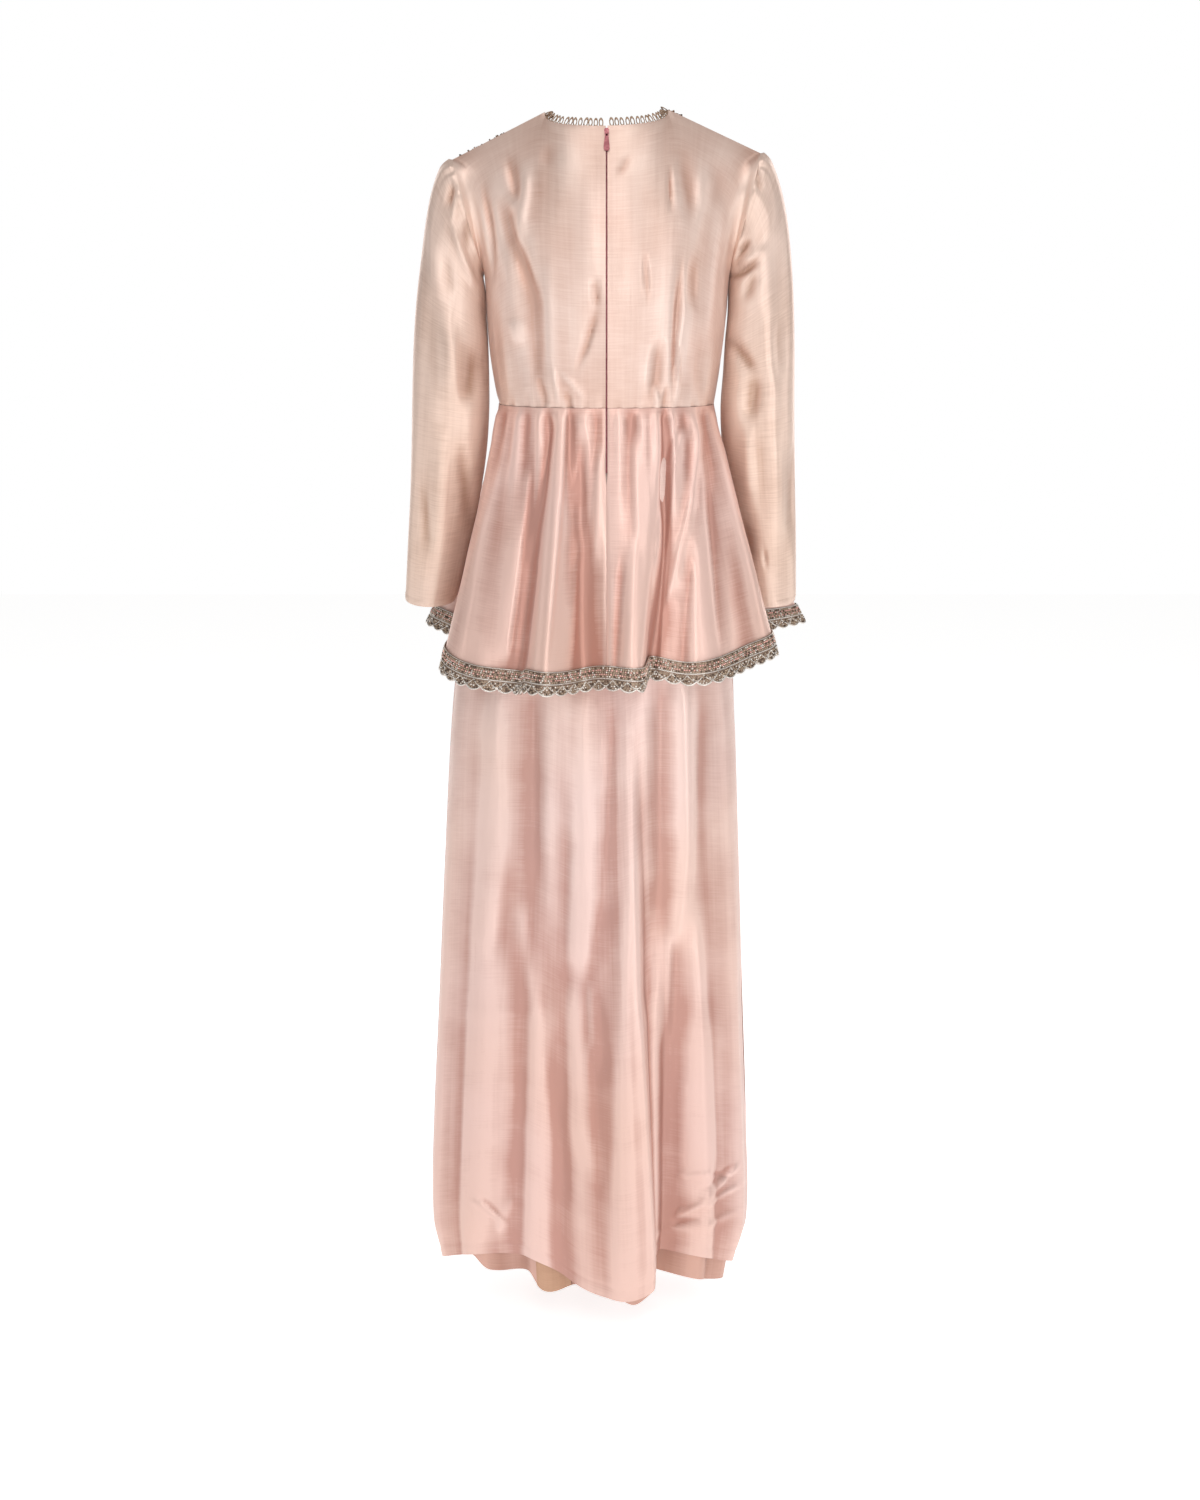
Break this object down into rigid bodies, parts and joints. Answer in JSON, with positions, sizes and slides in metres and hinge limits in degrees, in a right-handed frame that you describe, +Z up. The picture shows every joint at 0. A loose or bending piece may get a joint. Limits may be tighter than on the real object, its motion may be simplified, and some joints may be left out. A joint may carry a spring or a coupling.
{
  "type": "peplum top and dhoti skirt set",
  "caption": "Long-sleeved silk top with a back zip and a flared peplum with scalloped trim, over a long draped dhoti skirt, in hollow worn form.",
  "frame": {"origin": "midway between the two shoulder seams' outer ends, on the garment's middle plane, where the wearer's shoulders carry the top", "axes": "+Z up, -Y towards the wearer's back, where the zip is, +X towards the wearer's right"},
  "size_m": [0.5243, 0.4027, 1.5324],
  "materials": {
    "bodice_silk": "pale pink-beige silk blend, fine horizontal slub, satin sheen",
    "sleeve_silk": "golden beige shot silk blend, satin sheen",
    "peplum_silk": "salmon pink shot silk blend, satin sheen",
    "skirt_silk": "pink-beige silk blend, fine horizontal slub, satin sheen",
    "underskirt_silk": "pink-beige silk blend, a little darker",
    "hem_trim": "woven trim in antique silver thread and small beads",
    "neck_loops": "beige silk cord",
    "zip_tape": "dusty rose zip tape",
    "zip_metal": "dusty rose lacquer, half gloss"
  },
  "bodies": {
    "garment": {"back_bodice_left": "bodice_silk", "back_bodice_right": "bodice_silk", "front_bodice": "bodice_silk", "sleeve_left": "sleeve_silk", "sleeve_right": "sleeve_silk", "peplum_back_left": "peplum_silk", "peplum_back_right": "peplum_silk", "peplum_front": "peplum_silk", "hem_trim_back_left": "hem_trim", "hem_trim_back_right": "hem_trim", "hem_trim_front": "hem_trim", "neck_loops_back_left": "neck_loops", "neck_loops_back_right": "neck_loops", "neck_loops_front": "neck_loops", "zip_tape": "zip_tape", "zip_slider": "zip_metal", "skirt_waistband": "skirt_silk", "skirt_back": "skirt_silk", "skirt_front_over": "skirt_silk", "skirt_front_under": "skirt_silk", "underskirt": "underskirt_silk"},
    "pull_tab": {"zip_pull": "zip_metal"}
  },
  "joints": [
    {"name": "pull_tab_hinge", "type": "hinge", "parent": "garment", "child": "pull_tab", "pos_m": [0, -0.07347, 0.02792], "axis": [-1, 0, 0], "range_deg": [0, 145]}
  ]
}
